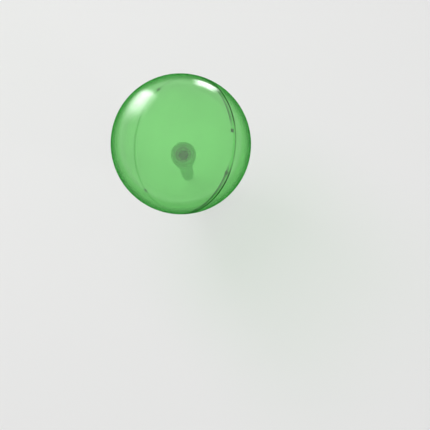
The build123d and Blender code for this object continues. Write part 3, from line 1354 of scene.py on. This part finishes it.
@dataclass
class Studio:
    """Plain pale floor, soft lamps and the photograph's camera.

    The floor's size and all that is said of the lamps is in metres, other lengths are in millimetres, and
    angles are in degrees. The side cards give the views from each side a highlight of their own.
    """

    stack: Stack
    floor_height: float = -140.0
    floor_size: float = 40.0
    fade_start: float = 450.0
    fade_end: float = 2200.0
    room_light: float = 0.6
    sheen_lamps: int = 4
    sheen_turn: float = 25.0
    sheen_place: Triple = (0.8, 0.0, 0.15)
    sheen_target: Triple = (0.0, 0.0, -0.03)
    sheen_sides: Pair = (0.07, 0.7)
    sheen_power: float = 7.0
    side_views: int = 4
    side_card_turn: float = 45.0
    side_card_rise: float = 50.0
    side_card_distance: float = 290.0
    side_card_strength: float = 8.0
    side_card_grid: Pair = (2.5, 5.0)
    side_eye_height: float = 0.27
    side_eye_distance: float = 1000.0
    dark_card_height: float = -139.5
    dark_card_radius: float = 620.0
    dark_card_share: float = 0.6
    dark_card_segments: int = 96
    focal_pixels: float = 651.5
    frame_pixels: float = 430.0
    sensor_width: float = 36.0
    clip_start: float = 0.01
    camera_from_ball: Triple = (11.02, -63.86, 394.67)
    camera_right: Triple = (0.9988, -0.0462, 0.0168)
    camera_up: Triple = (0.0453, 0.9976, 0.0515)

    @staticmethod
    def seen(graph: Graph) -> Socket:
        """Adds the test that is one for rays that show the background, directly or in glass.

        Args:
            graph: the material's or the world's graph.

        Returns:
            The test's output.
        """
        rays = graph.add("ShaderNodeLightPath").outputs
        mirrored = graph.maths("MAXIMUM", rays["Is Glossy Ray"], rays["Is Transmission Ray"])
        return graph.maths("MAXIMUM", rays["Is Camera Ray"], mirrored)

    def build_floor(self) -> None:
        """Adds the floor, which fades into the room."""
        half, level = self.floor_size / 2, self.floor_height * MM
        corners = [(x * half, y * half, level) for x, y in ((-1, -1), (1, -1), (1, 1), (-1, 1))]
        floor = new_piece("pale_floor", corners, [(0, 1, 2, 3)], closed=False)
        material, graph = new_material("pale_floor")
        feeds = {"Base Color": Shade.PALE_FLOOR.value, "Roughness": 1.0, "Specular IOR Level": 0.0}
        paint = graph.add("ShaderNodeBsdfPrincipled", feeds)
        off = graph.off_axis(graph.add("ShaderNodeTexCoord").outputs["Object"])
        far = graph.spread(off, self.fade_start * MM, self.fade_end * MM, 0.0, 1.0)
        pale = graph.add("ShaderNodeEmission", {0: Shade.PALE_ROOM.value})
        surface = graph.blend(graph.times(far, self.seen(graph)), paint, pale)
        graph.add("ShaderNodeOutputMaterial", {"Surface": surface})
        floor.data.materials.append(material)

    def build_dark_card(self) -> None:
        """Adds the dark round card under the ball, which is only mirrored and draws the ball's edge."""
        radius, level = self.dark_card_radius * MM, self.dark_card_height * MM
        angles = [math.tau * step / self.dark_card_segments for step in range(self.dark_card_segments)]
        corners = [(radius * math.cos(angle), radius * math.sin(angle), level) for angle in angles]
        card = new_piece("dark_card", corners, [tuple(range(self.dark_card_segments))], closed=False)
        material, graph = new_material("dark_card")
        off = graph.off_axis(graph.add("ShaderNodeTexCoord").outputs["Object"])
        tone = graph.spread(off, radius * self.dark_card_share, radius, 0.0, 1.0)
        shade = graph.mixed(tone, Shade.CARD_GREEN.value, Shade.PALE_FLOOR.value)
        graph.add("ShaderNodeOutputMaterial", {"Surface": graph.add("ShaderNodeEmission", {0: shade})})
        only_mirrored(card, material)

    def build_world(self) -> None:
        """Adds the pale surroundings."""
        world = bpy.context.scene.world = bpy.data.worlds.new("pale_room")
        world.use_nodes = True
        world.node_tree.nodes.clear()
        graph = Graph(world.node_tree)
        pale = graph.add("ShaderNodeBackground", {0: Shade.PALE_ROOM.value})
        light = graph.add("ShaderNodeBackground", {0: Shade.LIGHT_WHITE.value, 1: self.room_light})
        graph.add("ShaderNodeOutputWorld", {0: graph.blend(self.seen(graph), light, pale)})

    def build_lamps(self) -> None:
        """Adds the lamps."""
        target = (0.0, 0.0, self.stack.ball_centre * MM)
        Lamp("overhead", place=(-0.5, 0.5, 1.3), target=target, sides=(1.0, 1.0), power=12.0).build()
        Lamp("side_fill", place=(1.1, -0.7, 0.9), target=target, sides=(0.9, 0.9), power=4.0).build()
        satin = bpy.data.collections.new("satin_pieces")
        for name in ("fluted_socket", "soil_tube", "slotted_tip", "seal_ring"):
            satin.objects.link(bpy.data.objects[name])
        for index in range(self.sheen_lamps):
            angle = math.radians(self.sheen_turn) + math.tau * index / self.sheen_lamps
            place = tuple(Matrix.Rotation(angle, 3, "Z") @ Vector(self.sheen_place))
            Lamp(f"sheen_{index}", place, self.sheen_target, self.sheen_sides, self.sheen_power).build(satin)

    def build_cards(self) -> None:
        """Adds the white cards, whose mirror images are the highlights."""
        ball, radius = Vector((0.0, 0.0, self.stack.ball_centre)), self.stack.ball_radius
        eye = ball + Vector(self.camera_from_ball)
        sizes = {"across": (238, 106), "along": (-68, 351), "fades": (0.19, 0.61, 0.58, 0.42)}
        centre = Vector((-186.6, 174.5, 56.1))
        WhiteCard("tall_card", ball, radius, eye, centre, strength=10.5, **sizes).build()
        sizes = {"across": (135, 20), "along": (-5, 150), "fades": (0.35, 0.35, 0.35, 0.35)}
        centre = Vector((95.9, 226.6, -17.6))
        WhiteCard("small_card", ball, radius, eye, centre, strength=7.5, **sizes).build()
        sizes = {"across": (140, 0), "along": (0, 230), "fades": (0.3, 0.3, 0.3, 0.3)}
        sizes |= {"strength": self.side_card_strength, "grid": self.side_card_grid}
        rise = math.radians(self.side_card_rise)
        for index in range(self.side_views):
            look = math.tau * index / self.side_views
            turn = look + math.radians(self.side_card_turn)
            to_eye = Vector((-math.sin(look), -math.cos(look), self.side_eye_height))
            level = math.cos(rise)
            away = Vector((-math.sin(turn) * level, -math.cos(turn) * level, math.sin(rise)))
            eye, centre = ball + to_eye * self.side_eye_distance, ball + away * self.side_card_distance
            WhiteCard(f"side_card_{index}", ball, radius, eye, centre, **sizes).build()

    def build_camera(self) -> None:
        """Adds the camera where the photograph's was, seen from the ball."""
        data = bpy.data.cameras.new("photo_camera")
        data.sensor_width = self.sensor_width
        data.lens = self.focal_pixels / self.frame_pixels * data.sensor_width
        data.clip_start = self.clip_start
        camera = bpy.data.objects.new("photo_camera", data)
        bpy.context.scene.collection.objects.link(camera)
        right = Vector(self.camera_right).normalized()
        up = Vector(self.camera_up)
        up = (up - right * up.dot(right)).normalized()
        turn = Matrix((right, up, right.cross(up))).transposed().to_4x4()
        place = Vector(self.camera_from_ball) + Vector((0, 0, self.stack.ball_centre))
        camera.matrix_world = Matrix.Translation(place * MM) @ turn
        bpy.context.scene.camera = camera

    def build(self) -> None:
        """Builds floor, surroundings, lamps, cards and camera, and sets the view."""
        self.build_floor()
        self.build_dark_card()
        self.build_world()
        self.build_lamps()
        self.build_cards()
        self.build_camera()
        bpy.context.scene.view_settings.view_transform = "Standard"


def main() -> None:
    """Builds the globe, piece by piece, and the studio around it."""
    logging.basicConfig(level=logging.INFO, format="%(message)s")
    stack = Stack()
    rules, groups = Rules(), PlasticGroups()
    ball = Ball(stack)
    seam = SeamMarks(
        tilt=math.radians(ball.seam_tilt),
        centre=stack.ball_centre * MM,
        outer=stack.ball_radius * MM,
        inner=stack.ball_inner * MM,
        lap=ball.lap_height * MM,
    )
    shell_green = ClearPlastic(name="shell_green", seam=seam)
    neck_green = ClearPlastic(
        name="neck_green", tint=(0.70, 0.97, 0.67), absorbed=(0.2, 0.82, 0.18), density=110.0
    )
    stem_green = SolidPlastic(name="stem_green", colour=Shade.STEM_GREEN.value)
    seal_rubber = SolidPlastic(
        name="seal_rubber", colour=Shade.SEAL_BLACK.value, roughness=0.55, grain_scale=3500.0
    )
    ball.build(rules, shell_green.build(groups))
    Neck(stack).build(neck_green.build(groups), seal_rubber.build(groups))
    Stem(stack).build(rules, stem_green.build(groups))
    Studio(stack).build()


if __name__ == "__main__":
    main()
